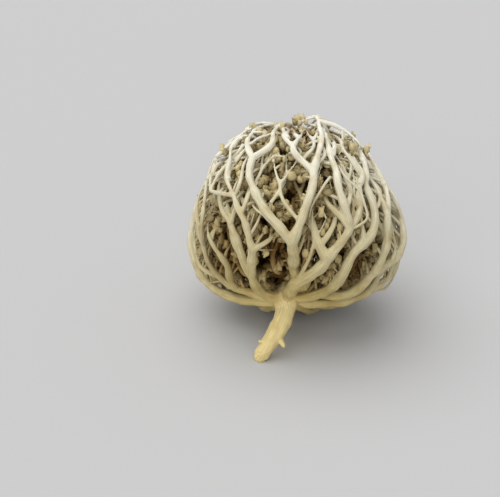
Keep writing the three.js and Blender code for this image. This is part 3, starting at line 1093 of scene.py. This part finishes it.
# A thin root that snapped off near the end.
SNAPPED = [(-5.5, 0.8, -17.5), (-7.2, -0.6, -17.9), (-9.2, -1.6, -17.6)]
SNAPPED_RADII = [0.9, 0.7, 0.55]


def dense(points, radii):
    """A listed route with a point every millimetre."""
    route, thick = [], []
    for i in range(len(points) - 1):
        a, b = Vector(points[i]), Vector(points[i + 1])
        steps = max(1, round((b - a).length))
        for step in range(steps):
            t = step / steps
            route.append(a.lerp(b, t))
            thick.append(radii[i] + (radii[i + 1] - radii[i]) * smoothstep(t))
    return rounded([*route, Vector(points[-1])]), [*thick, radii[-1]]


root_runs = [dense(TAP, TAP_RADII), dense(SIDE_ROOT, SIDE_RADII), dense(SNAPPED, SNAPPED_RADII)]
print("points of the root:", len(root_runs[0][0]))

# %% The taproot
LUMP_SIZE = 3.0
LUMP_DEPTH = 0.35
END_ROUGH = 2.2  # how far from its end the root is torn
END_TEAR = 1.4
END_TEAR_SIZE = 0.8
ROOT_SIDES = 16
ROOT_WRINKLES = 0.03


def weathered(mesh, runs):
    """Raises low lumps on the root and tears its broken end."""
    end = runs[0][0][-1]
    for vertex in mesh.vertices:
        lump = noise.noise(vertex.co / LUMP_SIZE) * LUMP_DEPTH
        near_end = max(0.0, 1.0 - (vertex.co - end).length / (END_ROUGH + runs[0][1][-1]))
        tear = noise.noise(vertex.co / END_TEAR_SIZE) * END_TEAR * near_end
        vertex.co += vertex.normal * (lump + tear)


root_skin = fused(swept(root_runs, "taproot", ROOT_SIDES))
mark_grain(root_skin, root_runs, press=ROOT_WRINKLES)
weathered(root_skin, root_runs)
finish(root_skin, "taproot", "taproot", ROOT)
print("root faces:", len(root_skin.polygons))

# %% [markdown]
# ## Floor, light and camera
#
# A plain pale floor and two large soft lights, one above and a weaker one low in front. A sun lamp
# with a wide angle is as soft as a softbox and needs no distance. The camera looks a little down on
# the plant.

# %% Floor
FLOOR_HALF = 4.0  # metres
floor_mesh = bpy.data.meshes.new("floor")
floor_bm = bmesh.new()
bmesh.ops.create_grid(floor_bm, x_segments=1, y_segments=1, size=FLOOR_HALF)
floor_bm.to_mesh(floor_mesh)
floor_bm.free()
floor = bpy.data.objects.new("floor", floor_mesh)
bpy.context.scene.collection.objects.link(floor)
# Paper pressed without a coating: an even pale grey that mirrors nothing.
pale = bpy.data.materials.new("matt pale paper")
pale.use_nodes = True
pale_shader = pale.node_tree.nodes["Principled BSDF"]
pale_shader.inputs["Base Color"].default_value = linear("#c0c0c0")
pale_shader.inputs["Roughness"].default_value = 1.0
pale_shader.inputs["Specular IOR Level"].default_value = 0.0
floor_mesh.materials.append(pale)
print("floor, metres:", [round(side, 1) for side in floor.dimensions])

# %% Light
SKY = 0.45  # the even light from all sides
scene = bpy.context.scene
scene.view_settings.view_transform = "Standard"
world = bpy.data.worlds.new("studio")
world.use_nodes = True
sky = world.node_tree.nodes["Background"]
sky.inputs["Color"].default_value = (1.0, 1.0, 1.0, 1.0)
sky.inputs["Strength"].default_value = SKY
scene.world = world


def soft_sun(name, from_direction, spread, strength):
    """Light from one side of the sky. The wide spread makes it as soft as a large softbox."""
    light = bpy.data.lights.new(name, "SUN")
    light.angle = math.radians(spread)
    light.energy = strength
    lamp = bpy.data.objects.new(name, light)
    lamp.rotation_euler = from_direction.to_track_quat("Z", "Y").to_euler()
    scene.collection.objects.link(lamp)


soft_sun("overhead softbox", Vector((-0.25, 0.1, 1.0)), 70.0, 1.9)
soft_sun("low front softbox", Vector((-0.3, -1.0, 0.45)), 60.0, 1.1)
print("lights:", [light.name for light in bpy.data.lights])

# %% Camera
CAMERA_RISE = math.radians(28.0)
CAMERA_DISTANCE = 0.6
VIEW_WIDTH = 0.1925  # what the picture spans at the plant
AIM = Vector((-14.2, 0.0, 19.8)) * MM  # from the crown to the middle of the picture: right, ahead, up

camera_data = bpy.data.cameras.new("camera")
camera = bpy.data.objects.new("camera", camera_data)
scene.collection.objects.link(camera)
scene.camera = camera
camera_turn = Matrix.Rotation(math.pi / 2 - CAMERA_RISE, 3, "X")
aim_point = CROWN_POINT + camera_turn @ Vector((AIM.x, AIM.z, 0.0))
camera.location = aim_point + camera_turn @ Vector((0.0, 0.0, CAMERA_DISTANCE))
camera.rotation_euler = camera_turn.to_euler()
camera_data.angle = 2.0 * math.atan(VIEW_WIDTH / 2.0 / CAMERA_DISTANCE)
print("field of view, degrees:", round(math.degrees(camera_data.angle), 1))
